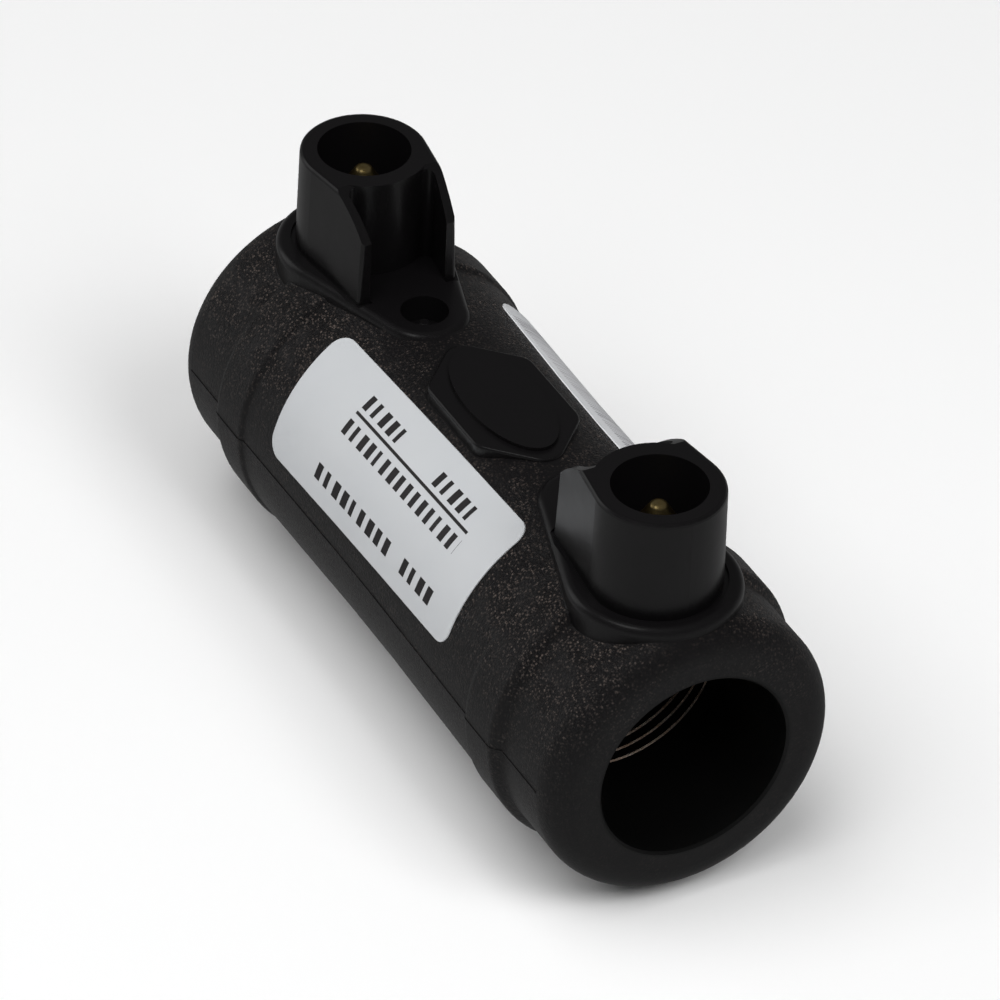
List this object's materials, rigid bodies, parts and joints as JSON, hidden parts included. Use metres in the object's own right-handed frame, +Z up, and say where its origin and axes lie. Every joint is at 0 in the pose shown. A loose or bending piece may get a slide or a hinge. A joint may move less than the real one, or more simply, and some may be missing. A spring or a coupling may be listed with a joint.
{
  "type": "electrofusion coupler",
  "caption": "Straight electrofusion coupler for joining plastic pressure pipe, with shrouded terminals, an internal heating wire and melt indicators.",
  "frame": {"origin": "on the axis of the bore, half way between the two mouths", "axes": "+X along the bore to the right-hand mouth, +Z up through the terminals, +Y towards the label with the fine lines"},
  "size_m": [0.0812, 0.0334, 0.0438],
  "materials": {
    "black_polyethylene": "moulded, spark-textured barrel and smooth shrouds",
    "brass_terminal": "turned, bright",
    "copper_wire": "bare drawn copper",
    "label_film": "white printed film, semi-gloss"
  },
  "bodies": {
    "root": {"coupler_body": "black_polyethylene", "heating_wire": "copper_wire", "terminal_pin_right": "brass_terminal", "terminal_pin_left": "brass_terminal", "indicator_pin_right": "black_polyethylene", "indicator_pin_left": "black_polyethylene", "spec_label": "label_film", "barcode_label": "label_film"}
  },
  "joints": []
}
